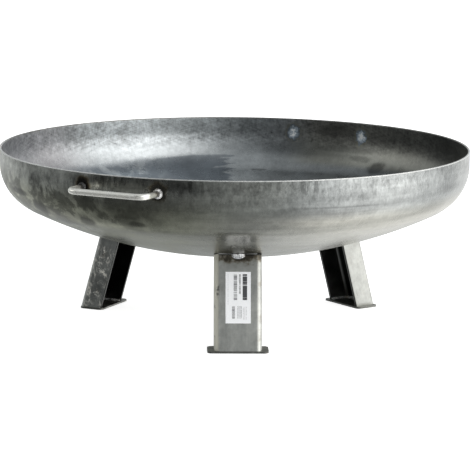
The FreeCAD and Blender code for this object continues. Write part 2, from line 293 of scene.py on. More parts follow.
def make_bowl():
    turns, knuckle_rows, crown_rows = 320, 26, 46
    arcs = ([0.06, 0.14, 0.25, 0.38, 0.52, 0.66, 0.82, 1.0]
            + [1 + k / knuckle_rows for k in range(1, knuckle_rows + 1)]
            + [2 + k / crown_rows for k in range(1, crown_rows)])
    edge = RIM_EDGE
    rings = []  # radius, height, outward normal (r, z), part: 0 outside, 1 rim, 2 inside
    for arc in reversed(arcs):
        rings.append((*profile_point(arc, False), 0))
    rim = [(RADIUS, RIM_Z - edge, 1, 0), (RADIUS - edge * 0.3, RIM_Z - edge * 0.3, 0.7, 0.7),
           (RADIUS - edge, RIM_Z, 0, 1), (RADIUS - WALL + edge, RIM_Z, 0, 1),
           (RADIUS - WALL + edge * 0.3, RIM_Z - edge * 0.3, -0.7, 0.7),
           (RADIUS - WALL, RIM_Z - edge, -1, 0)]
    rings += [(*place, 1) for place in rim]
    for arc in arcs:
        rings.append((*profile_point(arc, True), 2))
    mesh = bpy.data.meshes.new("fire_bowl")
    shape = bmesh.new()
    circles = []
    for r, z, nr, nz, part in rings:
        circle = []
        for k in range(turns):
            angle = 2 * math.pi * k / turns
            s, c = math.sin(angle), -math.cos(angle)
            inward = dent(r * s, r * c, z) * (0.25 if part == 1 else 1.0)
            if part == 1:
                nr, nz, inward = 1.0, 0.0, inward if nr > 0.5 else 0.0
            circle.append(shape.verts.new(((r - inward * nr) * s, (r - inward * nr) * c,
                                           z - inward * nz)))
        circles.append(circle)
    poles = []
    for r, z, _, nz in (profile_point(3, False), profile_point(3, True)):
        poles.append(shape.verts.new((0, 0, z - dent(0, 0, z) * nz)))
    for row in range(len(circles) - 1):
        part = rings[row][4] if rings[row][4] == rings[row + 1][4] else 1
        for k in range(turns):
            after = (k + 1) % turns
            face = shape.faces.new((circles[row][k], circles[row][after],
                                    circles[row + 1][after], circles[row + 1][k]))
            face.material_index = (0, 2, 1)[part]
            face.smooth = True
    for pole, circle, index, flip in ((poles[0], circles[0], 0, True),
                                      (poles[1], circles[-1], 1, False)):
        for k in range(turns):
            pair = (circle[k], circle[(k + 1) % turns])
            face = shape.faces.new((pole, *(reversed(pair) if flip else pair)))
            face.material_index = index
            face.smooth = True
    bmesh.ops.recalc_face_normals(shape, faces=shape.faces)
    shape.to_mesh(mesh)
    shape.free()
    piece = bpy.data.objects.new("fire_bowl", mesh)
    bpy.context.scene.collection.objects.link(piece)
    return piece


HANDLE_ENDS = {(h, s): middle(f"{h}_handle_{s}_weld") for h in handles for s in ("left", "right")}


def steel_layers(m, offset):
    """Grain shared by the bowl's two faces: broad cloud, fine mottle, streaks down the wall,
    bands round it and fine scratches."""
    around = m.add("ShaderNodeCombineXYZ")
    radius = m.math("MAXIMUM", m.vector("LENGTH", m.vector("MULTIPLY", m.at, (1, 1, 0))), 0.02)
    m.put(around.inputs[0], m.math("DIVIDE", m.x, radius))
    m.put(around.inputs[1], m.math("DIVIDE", m.y, radius))
    m.put(around.inputs[2], m.multiply(m.z, 1.6))
    ring = around.outputs[0]
    return {
        "cloud": m.noise(m.at, 6.0, 4.0, 0.55, (offset, 0, 0)),
        "mottle": m.noise(m.at, 27.0, 6.0, 0.62, (0, offset, 0)),
        "grain": m.noise(m.at, 130.0, 4.0, 0.6, (0, 0, offset)),
        "streak": m.noise(ring, 34.0, 5.0, 0.62, (offset, 0, 0)),
        "fine_streak": m.noise(ring, 110.0, 4.0, 0.62, (0, offset, 0)),
        "band": m.noise(m.vector("MULTIPLY", m.at, (1, 1, 9)), 3.6, 5.0, 0.58, (offset, 5, 0)),
        "ring": ring,
    }


def outside_steel():
    m = Surface("bowl_outside")
    k = steel_layers(m, 1.7)
    near_rim = m.smooth(m.z, RIM_Z - 0.070, RIM_Z - 0.015)
    left = m.smooth(m.x, 0.08, -0.16)
    low = m.smooth(m.z, 0.252, 0.226)
    tone = m.vary(1.0, k["cloud"], 0.6)
    tone = m.vary(tone, k["mottle"], m.linear(left, 0.80, 0.35))
    tone = m.vary(tone, k["grain"], 0.30)
    tone = m.vary(tone, k["band"], 1.0)
    lines = m.noise(m.vector("MULTIPLY", m.at, (1, 1, 26)), 4.0, 5.0, 0.6, (3, 0, 0))
    tone = m.vary(tone, lines, 0.55)
    tone = m.vary(tone, k["streak"], m.multiply(near_rim, 1.3))
    side = m.smooth(m.z, 0.125, 0.150)
    streakiness = m.multiply(m.linear(near_rim, 0.8, 0.3), side)
    tone = m.vary(tone, k["fine_streak"], streakiness)
    # Patchy mill scale, thickest on the left of the front.
    patches = m.noise(m.at, 22.0, 7.0, 0.68, (0, 2.6, 0), 0.4)
    scaly = m.most(m.spot((-58, 0.232), (0.21, 0.050), 0.35, 0.8, 12.0),
                   m.spot((165, 0.240), (0.20, 0.040), 0.35, 0.8, 12.0, 5.0))
    scale = m.multiply(m.smooth(patches, 0.49, 0.555), scaly)
    tone = m.multiply(tone, m.linear(scale, -0.60, 1.08))
    # Darker patches of scale, and lighter bands right of the front where the depth is negative,
    # which are painted highlight: (azimuth, height), (half width, half height), depth.
    dark = [((-23, 0.290), (0.110, 0.012), 0.50), ((-26, 0.250), (0.045, 0.022), 0.45),
            ((-64, 0.246), (0.032, 0.006), 0.65), ((-55, 0.228), (0.024, 0.011), 0.55),
            ((-48, 0.212), (0.026, 0.010), 0.50), ((-39, 0.216), (0.016, 0.009), 0.65),
            ((-60, 0.214), (0.020, 0.006), 0.45), ((-24, 0.221), (0.016, 0.005), 0.50),
            ((63, 0.272), (0.030, 0.020), 0.20), ((-36, 0.248), (0.022, 0.016), 0.35),
            ((14, 0.241), (0.100, 0.013), 0.25), ((42, 0.238), (0.070, 0.010), -0.22),
            ((-52, 0.219), (0.110, 0.016), 0.28), ((38, 0.289), (0.130, 0.012), -0.16),
            ((150, 0.262), (0.070, 0.020), 0.35),
            ((-140, 0.240), (0.060, 0.024), 0.35), ((105, 0.232), (0.040, 0.014), 0.30)]
    for number, (centre, half, depth) in enumerate(dark):
        mask = m.spot(centre, half, 0.35, 1.5, 38.0, number * 1.3)
        tone = m.darken(tone, mask, depth)
    # Short dark drips under the rim.
    drip = m.noise(m.vector("MULTIPLY", k["ring"], (1, 1, 0.25)), 40.0, 3.0, 0.6, (0, 0, 6))
    drips = m.multiply(m.smooth(drip, 0.53, 0.60), m.smooth(m.z, RIM_Z - 0.028, RIM_Z - 0.014))
    for centre in (-27, -8, 15, 140, -150):
        place = m.spot((centre, RIM_Z - 0.012), (0.045, 0.020), 0.4, 0.6, 30.0, centre * 0.1)
        tone = m.darken(tone, m.multiply(drips, place), 0.42)
    # A thin dark line where the wall starts to turn in, on the right of the front.
    line = m.absolute(m.math("SUBTRACT", m.z, m.linear(m.x, -0.012, 0.2557)))
    line = m.multiply(m.smooth(line, 0.0022, 0.0004), m.smooth(m.x, 0.05, 0.13),
                      m.smooth(m.x, 0.30, 0.20), m.smooth(m.y, 0, -0.1))
    tone = m.darken(tone, line, 0.22)
    upper_base = m.mix(m.smooth(m.x, 0.02, 0.16), (0.455, 0.460, 0.425), (0.450, 0.463, 0.458))
    base = m.mix(low, upper_base, (0.458, 0.452, 0.412))
    olive = m.multiply(m.smooth(m.x, 0.05, -0.12), m.smooth(m.z, 0.285, 0.235))
    base = m.mix(olive, base, (0.455, 0.453, 0.360))
    # Painted shade: the outside is darker low on the left and on the far right.
    shaded_low_left = m.multiply(m.smooth(m.x, 0.08, -0.06), m.smooth(m.z, 0.216, 0.204))
    tone = m.darken(tone, shaded_low_left, 0.40)
    shaded_far_right = m.smooth(m.x, 0.27, 0.34)
    tone = m.darken(tone, shaded_far_right, 0.16)
    colour = m.shade(base, tone)
    for number, ((_, side_name), end) in enumerate(HANDLE_ENDS.items()):
        strength = 1.0 if side_name == "left" else 0.8
        colour = m.heat(colour, end + Vector((0, 0, 0.003)), 0.0085, 0.020, strength, number * 2.1)
    for number, leg in enumerate(legs):
        bead = middle(f"{leg}_leg_web_weld")
        run = along_rim(outward(bead)).normalized()
        colour = m.heat(colour, bead, 0.002, 0.013, 0.5, 9 + number * 1.7, run)
    rough = m.vary(0.29, k["mottle"], 0.35)
    rough = m.vary(rough, k["cloud"], 0.20)
    normal = m.bump(k["grain"], 0.05, 0.0003)
    scratch = m.noise(m.vector("MULTIPLY", k["ring"], (1, 1, 5)), 90.0, 3.0, 0.6, (8, 0, 0))
    normal = m.bump(m.multiply(scratch, side), 0.04, 0.0002, normal)
    return m.finish(colour, rough, 1.0, normal)


def torn_stain(m, arc, degrees):
    """The share of a blue-grey stain on the left of the far side, below about three quarters of
    the height: a soft top, a torn right edge and a patchy left end."""
    strands = m.add("ShaderNodeCombineXYZ")
    m.put(strands.inputs[0], arc)
    m.put(strands.inputs[1], m.multiply(m.z, 7.0))
    torn = m.noise(strands.outputs[0], 16.0, 6.0, 0.65, (2, 0, 0), 0.3)
    patch = m.noise(m.at, 38.0, 6.0, 0.68, (7, 0, 0), 0.5)
    fuzzy = m.smooth(degrees, 18, 30)
    top = m.linear(m.smooth(degrees, 8, 28), -0.0055, 0.2318)
    height = m.vary(m.z, patch, m.linear(fuzzy, 0.034, 0.004))
    edge = m.linear(fuzzy, 0.0055, 0.0016)
    above = m.math("DIVIDE", m.math("SUBTRACT", height, top), edge)
    right = m.vary(degrees, torn, 26.0)
    end = m.vary(degrees, patch, 30.0)
    stain = m.multiply(m.smooth(above, 1.0, -1.0), m.smooth(right, 0.0, 4.0),
                       m.smooth(end, 62, 46), m.smooth(m.z, 0.150, 0.190))
    deep = m.smooth(m.z, 0.2330, 0.2130, 0.72, 1.0)
    blotchy = m.between(fuzzy, 1.0, m.smooth(patch, 0.40, 0.58, 0.38, 1.0))
    return m.multiply(stain, deep, blotchy)


def inside_steel():
    m = Surface("bowl_inside")
    k = steel_layers(m, 6.1)
    near_rim = m.smooth(m.z, RIM_Z - 0.060, RIM_Z - 0.036)
    # Round the inside, 0 degrees is the far side and + is towards -X.
    turn = m.math("ARCTAN2", m.multiply(m.x, -1.0), m.y)
    arc = m.multiply(turn, RADIUS)
    degrees = m.multiply(turn, 180 / math.pi)
    # What runs by angle stops short of the floor, where it would meet in a point, and of the
    # front, where the angle jumps from 180 to -180.
    wall = m.smooth(m.z, 0.165, 0.195)
    unbroken = m.multiply(wall, m.smooth(m.absolute(degrees), 176, 150))
    tone = m.vary(1.0, k["cloud"], 0.55)
    tone = m.vary(tone, k["mottle"], m.linear(near_rim, 0.10, 0.50))
    tone = m.vary(tone, k["grain"], m.linear(near_rim, 0.20, 0.30))
    tone = m.vary(tone, k["band"], 1.0)
    tone = m.vary(tone, k["streak"], m.linear(wall, 0.25, near_rim))
    streakiness = m.linear(wall, 0.35, m.multiply(near_rim, 0.8))
    tone = m.vary(tone, k["fine_streak"], streakiness)
    # Long fine scratches across the upper wall, in two directions.
    for slant, seed in ((0.8, 1.0), (-0.5, 5.0)):
        plane = m.add("ShaderNodeCombineXYZ")
        crosswise = m.linear(m.z, -1.0, m.multiply(arc, slant * 0.5))
        m.put(plane.inputs[0], m.linear(m.z, slant, m.multiply(arc, 0.5)))
        m.put(plane.inputs[1], m.multiply(crosswise, 9.0))
        scratch = m.noise(plane.outputs[0], 26.0, 5.0, 0.7, (seed, 0, 0))
        amount = m.multiply(m.math("ADD", near_rim, 0.25), unbroken)
        tone = m.vary(tone, scratch, amount)
    # The steel's tone round the upper and the lower wall, set to the photo's brightness. The photo
    # can't tell scale from reflection, so this holds both scale and painted reflection: painted
    # highlight on the left of the far side and painted shade on its right.
    way_round = m.linear(degrees, 1 / 360, 0.5)
    upper = m.ramp(way_round, [(0.18, 0.92), (0.24, 0.30), (0.31, 0.20), (0.36, 0.26), (0.42, 0.32),
                               (0.455, 0.60), (0.49, 0.80), (0.53, 1.34), (0.60, 1.62),
                               (0.645, 1.05), (0.72, 0.72), (0.80, 0.92)])
    lower = m.ramp(way_round, [(0.20, 0.82), (0.28, 0.50), (0.345, 0.46), (0.385, 0.59),
                               (0.42, 0.50), (0.46, 0.62), (0.49, 0.95), (0.54, 1.05), (0.61, 1.0),
                               (0.66, 0.72), (0.75, 0.82)])
    ragged = m.vary(m.z, k["band"], 0.030)
    right = m.smooth(degrees, -20, -50)
    ragged = m.linear(right, 0.010, ragged)
    share = m.smooth(ragged, 0.250, 0.274)
    tone = m.multiply(tone, m.between(wall, 0.72, m.between(share, lower, upper)))
    purple = m.multiply(m.smooth(degrees, 40, 60), unbroken)
    base = m.mix(purple, (0.435, 0.458, 0.470), (0.462, 0.455, 0.470))
    olive = m.multiply(m.smooth(degrees, -12, -24), m.smooth(m.z, 0.215, 0.228))
    base = m.mix(olive, base, (0.445, 0.448, 0.405))
    colour = m.shade(base, tone)
    stain_tone = m.vary(m.vary(1.0, k["mottle"], 1.1), k["band"], 1.0)
    stain_colour = m.shade((0.158, 0.178, 0.202), stain_tone)
    colour = m.mix(m.multiply(torn_stain(m, arc, degrees), 0.92), colour, stain_colour)
    # Darker patches, listed as on the outside. The one at 108 degrees, high on the right of the far
    # side, is painted shade.
    dark = [((137, 0.2235), (0.020, 0.010), 0.6), ((128, 0.216), (0.040, 0.012), 0.35),
            ((143, 0.236), (0.022, 0.005), 0.3), ((108, 0.286), (0.070, 0.016), 0.35),
            ((148, 0.250), (0.060, 0.006), 0.25), ((173, 0.2085), (0.014, 0.0014), 0.40),
            ((153, 0.283), (0.035, 0.010), 0.35)]
    for number, (centre, half, depth) in enumerate(dark):
        mask = m.spot(centre, half, 0.4, 1.4, 40.0, number * 1.9)
        colour = m.shade(colour, m.linear(mask, -depth, 1.0))
    # Where each handle is welded outside, the heat has marked the inner face.
    pale = 0.0
    for number, end in enumerate(HANDLE_ENDS.values()):
        place = outward(end) * (RADIUS - WALL) + Vector((0, 0, end.z - 0.001))
        gap = m.vector("SUBTRACT", m.at, tuple(place))
        away = m.vector("LENGTH", m.vector("MULTIPLY", gap, (1, 1, 0.82)))
        push = m.noise(m.at, 150.0, 5.0, 0.7, (number * 3.0, 0, 2))
        far = m.vary(m.math("DIVIDE", away, 0.0170), push, 1.4)
        tint = m.ramp(far, [(0.16, (0.98, 1.0, 1.0)), (0.36, (0.46, 0.54, 0.61)),
                            (0.60, (0.16, 0.19, 0.22)), (0.80, (0.22, 0.215, 0.16)),
                            (1.0, (0.24, 0.25, 0.22))])
        colour = m.mix(m.multiply(m.smooth(far, 1.1, 0.5), 0.9), colour, tint)
        pale = m.sum(pale, m.smooth(far, 0.60, 0.05))
    metallic = m.math("MULTIPLY_ADD", pale, -1.0, 1.0, clamp=True)
    rough = m.vary(m.linear(near_rim, 0.12, 0.27), k["mottle"], 0.30)
    normal = m.bump(m.sum(k["grain"], m.multiply(k["fine_streak"], wall)), 0.05, 0.0003)
    return m.finish(colour, rough, metallic, normal)


def rim_steel():
    m = Surface("bowl_rim")
    cut = m.noise(m.at, 220.0, 4.0, 0.6)
    # The cut edge is painted bright at the back of the rim and dark at the front: painted light and
    # shade.
    back = m.smooth(m.y, -0.05, 0.15)
    colour = m.mix(back, m.ramp(cut, [(0.3, (0.72, 0.72, 0.71)), (0.7, (0.97, 0.97, 0.95))]),
                   m.ramp(cut, [(0.3, (0.16, 0.16, 0.15)), (0.7, (0.40, 0.40, 0.38))]))
    rough = m.linear(cut, 0.2, 0.42)
    return m.finish(colour, rough, 1.0, m.bump(cut, 0.3, 0.0004))


bowl = make_bowl()
for material in (outside_steel(), inside_steel(), rim_steel()):
    bowl.data.materials.append(material)
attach(bowl, "root")
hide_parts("bowl")


# ---------------------------------------------------------------- legs, plates and handles
def paint(node, material):
    piece = nodes[node]
    if not piece.data.materials:
        piece.data.materials.append(material)
    for slot in piece.material_slots:
        slot.material = material


def web_plane(leg):
    """A point on the web's outer face and its normal, read from the CAD mesh."""
    out = outward(middle(f"{leg}_leg"))
    total, point = Vector(), Vector()
    mesh = nodes[f"{leg}_leg"].data
    for face in mesh.polygons:
        if face.normal.dot(out) > 0.9 and face.normal.z > 0.1:
            total += face.normal * face.area
            point += face.center * face.area
    return point / total.length, total.normalized()


# Set leg by leg to the photo: how much bare metal and rust shows, and the tone of the flanges'
# inner faces. That tone is painted light and shade, lit on the rear right leg and shaded on the
# others; the shares of bare metal and rust are wear, also set to each leg's brightness, so they
# hold some painted light.
RUBBED = {"front": 0.12, "rear_left": 0.85, "rear_right": 0.15}
FRECKLED = {"front": 0.8, "rear_left": 0.5, "rear_right": 0.15}
CHANNEL = {"front": 0.05, "rear_left": 0.05, "rear_right": 0.26}


def leg_steel(leg):
    m = Surface(f"{leg}_leg_steel")
    face, normal_out = web_plane(leg)
    rim_way = along_rim(outward(face)).normalized()
    shift = azimuth(face) * 0.1
    across = m.along(face, rim_way)
    depth = m.multiply(m.along(face, normal_out), -1.0)
    drawn = m.add("ShaderNodeCombineXYZ")
    m.put(drawn.inputs[0], across)
    m.put(drawn.inputs[1], depth)
    m.put(drawn.inputs[2], m.multiply(m.z, 0.12))
    lines = m.noise(drawn.outputs[0], 240.0, 4.0, 0.6)
    blotch = m.noise(m.at, 32.0, 5.0, 0.6, (shift, 0, 0))
    cloud = m.noise(m.at, 12.0, 3.0, 0.5, (0, shift, 0))
    grain = m.noise(m.at, 170.0, 4.0, 0.6, (0, 0, shift))
    tone = m.vary(1.0, blotch, 0.9)
    tone = m.vary(tone, cloud, 0.7)
    tone = m.vary(tone, lines, 0.35)
    tone = m.vary(tone, grain, 0.45)
    colour = m.shade((0.53, 0.535, 0.508), tone)
    # Scratches and rubbed patches where the scale has come off.
    rub = m.noise(m.vector("MULTIPLY", m.at, (1.3, 1.3, 0.8)), 60.0, 8.0, 0.76, (3, shift, 0), 0.7)
    rubbed = m.multiply(m.smooth(rub, 0.50, 0.64), RUBBED[leg])
    colour = m.mix(rubbed, colour, (0.62, 0.60, 0.54))
    # Brown freckles along the bends.
    bend = m.smooth(m.absolute(across), 0.027, 0.037)
    rust = m.smooth(m.noise(m.at, 60.0, 5.0, 0.65, (0, 7, shift)), 0.55, 0.68)
    freckles = m.multiply(rust, m.linear(bend, 0.45, 0.05), FRECKLED[leg])
    colour = m.mix(freckles, colour, (0.20, 0.145, 0.085))
    bead = middle(f"{leg}_leg_web_weld")
    colour = m.heat(colour, bead, 0.003, 0.019, 0.95, shift, rim_way)
    for side in (-1, 1):
        corner = bead + rim_way * (0.036 * side)
        colour = m.heat(colour, corner, 0.001, 0.013, 0.9, shift + side)
    # A painted shadow line where the leg meets the bowl, and dark sawn edges.
    gap = m.vector("LENGTH", m.vector("SUBTRACT", m.at, (0, 0, CROWN_Z)))
    painted_contact_shade = m.smooth(m.math("SUBTRACT", gap, CROWN), 0.0036, 0.0012)
    colour = m.mix(m.multiply(painted_contact_shade, 0.9), colour, (0.02, 0.02, 0.02))
    sawn = m.smooth(depth, CHANNEL_DEPTH - 0.0005, CHANNEL_DEPTH - 0.0001)
    colour = m.mix(sawn, colour, m.shade((0.07, 0.07, 0.065), tone))
    # The inside's mask ends within the flanges' wall, so that all of their inner faces is in it.
    within = m.multiply(m.smooth(m.absolute(across), CHANNEL_HALF - 0.0020, CHANNEL_HALF - 0.0028),
                        m.smooth(depth, CHANNEL_WALL - 0.0005, CHANNEL_WALL - 0.0001))
    rubbed = m.multiply(rubbed, m.math("SUBTRACT", 1.0, within))
    # The front leg's left bend is painted lighter and duller, a painted highlight, and its flat is
    # painted a little darker, painted shade.
    if leg == "front":
        flat = m.smooth(m.absolute(across), 0.034, 0.026)
        colour = m.shade(colour, m.linear(flat, -0.12, 1.0))
        unrusted = m.smooth(m.vary(1.0, rust, 1.0), 1.5, 0.9)
        bend_highlight = m.multiply(m.smooth(across, -0.0300, -0.0335), unrusted)
        colour = m.mix(m.multiply(bend_highlight, 0.85), colour, (0.60, 0.585, 0.50))
        rubbed = m.most(rubbed, m.multiply(bend_highlight, 0.9))
    # The inside of the channel is painted near black, painted shade in its recess, and its flanges'
    # inner faces take the per-leg tone of painted light and shade.
    channel_shade = m.shade((0.010, 0.010, 0.009), m.vary(1.0, blotch, 1.5))
    flange_light_and_shade = m.shade((1.0, 1.0, 0.96), m.multiply(m.vary(1.0, blotch, 0.9), CHANNEL[leg]))
    channel_shade = m.mix(m.smooth(m.absolute(across), 0.029, 0.034), channel_shade, flange_light_and_shade)
    colour = m.mix(within, colour, channel_shade)
    rough = m.vary(0.34, blotch, 0.35)
    rough = m.between(m.multiply(rubbed, 0.6), rough, 0.52)
    normal = m.bump(lines, 0.08, 0.0003)
    normal = m.bump(blotch, 0.06, 0.0006, normal)
    dull = m.linear(rubbed, -0.65, 1.0)
    return m.finish(colour, rough, dull, normal)


def plate_steel():
    m = Surface("foot_plate_steel")
    blotch = m.noise(m.at, 40.0, 5.0, 0.65, (2, 0, 0), 0.6)
    grain = m.noise(m.at, 260.0, 3.0, 0.6)
    tone = m.linear(grain, 0.25, m.multiply(blotch, 0.9))
    colour = m.ramp(tone, [(0.30, (0.085, 0.085, 0.075)), (0.55, (0.20, 0.20, 0.185)),
                           (0.80, (0.40, 0.40, 0.375))])
    rough = m.linear(blotch, 0.25, 0.32)
    return m.finish(colour, rough, 1.0, m.bump(m.sum(blotch, grain), 0.15, 0.0006))


def handle_steel():
    m = Surface("handle_bar_steel")
    blotch = m.noise(m.at, 60.0, 5.0, 0.6, (1, 0, 0), 0.5)
    grain = m.noise(m.at, 400.0, 3.0, 0.6)
    tone = m.linear(grain, 0.25, m.multiply(blotch, 0.85))
    colour = m.ramp(tone, [(0.20, (0.80, 0.785, 0.72)), (0.45, (0.93, 0.915, 0.85)),
                           (0.80, (0.97, 0.96, 0.91))])
    for number, end in enumerate(HANDLE_ENDS.values()):
        colour = m.heat(colour, end, 0.006, 0.015, 0.8, number * 1.1)
    rough = m.linear(blotch, 0.14, 0.12)
    return m.finish(colour, rough, 0.80, m.bump(m.sum(blotch, grain), 0.04, 0.0003))


for leg in legs:
    paint(f"{leg}_leg", leg_steel(leg))
plate_finish = plate_steel()
for leg in legs:
    paint(f"{leg}_foot_plate", plate_finish)
handle_finish = handle_steel()
for handle in handles:
    paint(f"{handle}_handle", handle_finish)


# ---------------------------------------------------------------- weld beads
def weld_metal(name, metallic):
    m = Surface(name)
    spot = m.noise(m.at, 190.0, 5.0, 0.65)
    hue = m.noise(m.at, 70.0, 3.0, 0.5, (4, 0, 0))
    colour = m.ramp(spot, [(0.30, (0.10, 0.095, 0.09)), (0.42, (0.55, 0.55, 0.55)),
                           (0.60, (0.92, 0.92, 0.93))])
    tint = m.ramp(hue, [(0.3, (0.70, 0.73, 0.80)), (0.5, (0.95, 0.95, 0.94)),
                        (0.7, (0.86, 0.77, 0.60))])
    colour = m.mix(0.5, colour, m.mix(1.0, colour, tint, "MULTIPLY"))
    # Slag left on the bead, and on the front handle's left foot a black patch that is slag and
    # painted shade.
    slag_and_shade = m.smooth(m.noise(m.at, 85.0, 4.0, 0.6, (9, 2, 0)), 0.60, 0.66)
    place = HANDLE_ENDS["front", "left"] + Vector((0.002, 0, 0.003))
    away = m.vector("LENGTH", m.vector("SUBTRACT", m.at, tuple(place)))
    away = m.vary(away, spot, 0.006)
    slag_and_shade = m.most(slag_and_shade, m.smooth(away, 0.0115, 0.0090))
    colour = m.mix(m.multiply(slag_and_shade, 0.95), colour, (0.025, 0.024, 0.022))
    rough = m.linear(spot, 0.22, 0.20)
    return m.finish(colour, rough, metallic, m.bump(spot, 0.2, 0.0004))


# A real bead is all metal. These shares are set to the photo's brightness.
weld_finish = weld_metal("weld_metal", 0.6)
foot_weld_finish = weld_metal("foot_weld_metal", 0.15)


def rounded_copy(node, grain):
    """The points, normals and mesh of a CAD weld, remeshed finely and with its edges rounded."""
    source = bpy.data.objects.new("source", nodes[node].data.copy())
    bpy.context.scene.collection.objects.link(source)
    source.modifiers.new("weld", "WELD").merge_threshold = 0.00002
    remesh = source.modifiers.new("remesh", "REMESH")
    remesh.mode = "VOXEL"
    remesh.voxel_size = grain
    round_off = source.modifiers.new("smooth", "SMOOTH")
    round_off.factor = 0.5
    round_off.iterations = 12
    graph = bpy.context.evaluated_depsgraph_get()
    mesh = bpy.data.meshes.new_from_object(source.evaluated_get(graph), depsgraph=graph)
    bpy.data.objects.remove(source)
    return mesh


def read(mesh, what):
    values = np.empty(len(mesh.vertices) * 3)
    mesh.vertices.foreach_get(what, values)
    return values.reshape(-1, 3)


def taper(co, outward_side, swell):
    """Draws a straight bead in towards its root at both ends and fattens its middle. Returns the
    points and their places along and across the bead."""
    centre = co.mean(0)
    run_axis, wide_axis, thin_axis = np.linalg.svd(co - centre, full_matrices=False)[2]
    if thin_axis @ np.array(outward_side) < 0:
        thin_axis = -thin_axis
    run = (co - centre) @ run_axis
    middle_run = (run.max() + run.min()) / 2
    share = (run - middle_run) / ((run.max() - run.min()) / 2)
    full = np.sqrt(np.clip(1 - share ** 2, 0, 1))
    side = (co - centre) @ wide_axis
    depth = (co - centre) @ thin_axis
    root = depth.min()
    keep = 0.12 + 1.08 * full
    crown = swell * full * np.clip((depth - root) / (depth.max() - root), 0, 1)
    new_depth = root + (depth - root) * keep + crown
    run = middle_run + (run - middle_run) * 1.12
    moved = (centre + np.outer(run, run_axis) + np.outer(side * keep, wide_axis)
             + np.outer(new_depth, thin_axis))
    return moved, run, side


def make_bead(node, pitch, ripple_height, bar=None, sides=(), swell=0.0012, grain=0.0005):
    """A rippled bead in the place of a CAD weld. bar is the axis of the bar that it rings; sides
    are the outward directions of its straight runs, none where it turns corners."""
    mesh = rounded_copy(node, grain)
    co = read(mesh, "co")
    run = np.zeros(len(co))
    side = np.zeros(len(co))
    centre = co.mean(0)
    if bar is not None:
        axis = np.array(bar)
        first = np.cross(axis, (0, 0, 1.0))
        first /= np.linalg.norm(first)
        second = np.cross(axis, first)
        flat = co - centre
        run = np.arctan2(flat @ second, flat @ first) * RING_RADIUS
        side = np.hypot(flat @ first, flat @ second) - RING_RADIUS
    elif len(sides) == 1:
        co, run, side = taper(co, sides[0], swell)
    elif len(sides) == 2:
        for toward in sides:
            mine = (co - centre) @ np.array(toward) > 0
            co[mine], run[mine], side[mine] = taper(co[mine], toward, swell)
    else:
        run = (co - centre) @ np.array((0.7, 0.7, 0.0))
    mesh.vertices.foreach_set("co", co.ravel())
    mesh.update()
    bow = (side / RIPPLE_REACH) ** 2 * RIPPLE_SHIFT
    ripple = np.cos(2 * np.pi * (run / pitch + bow))
    lumps = np.array([mnoise.noise(Vector(p * 240.0)) for p in co])
    push = ripple_height * (0.5 * ripple + 0.9 * lumps)
    co = co + read(mesh, "normal") * push[:, None]
    co[:, 2] = np.maximum(co[:, 2], 0.0)
    mesh.vertices.foreach_set("co", co.ravel())
    mesh.polygons.foreach_set("use_smooth", [True] * len(mesh.polygons))
    mesh.update()
    mesh.materials.clear()
    mesh.materials.append(foot_weld_finish if node.endswith("foot_weld") else weld_finish)
    mesh.name = node.replace("weld", "bead")
    piece = bpy.data.objects.new(mesh.name, mesh)
    bpy.context.scene.collection.objects.link(piece)
    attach(piece, "root")
    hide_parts(node)


for handle, side in HANDLE_ENDS:
    chord = HANDLE_ENDS[handle, "right"] - HANDLE_ENDS[handle, "left"]
    bar = tuple(along_rim(chord).normalized())
    make_bead(f"{handle}_handle_{side}_weld", 0.0027, 0.00040, bar=bar)
for leg in legs:
    out = outward(middle(f"{leg}_leg"))
    across = along_rim(out)
    make_bead(f"{leg}_leg_web_weld", 0.0030, 0.00045, sides=[tuple(out - Vector((0, 0, 0.6)))])
    make_bead(f"{leg}_leg_flange_welds", 0.0030, 0.00040, sides=[tuple(across), tuple(-across)])
    make_bead(f"{leg}_foot_weld", 0.0034, 0.00035, grain=0.0006)


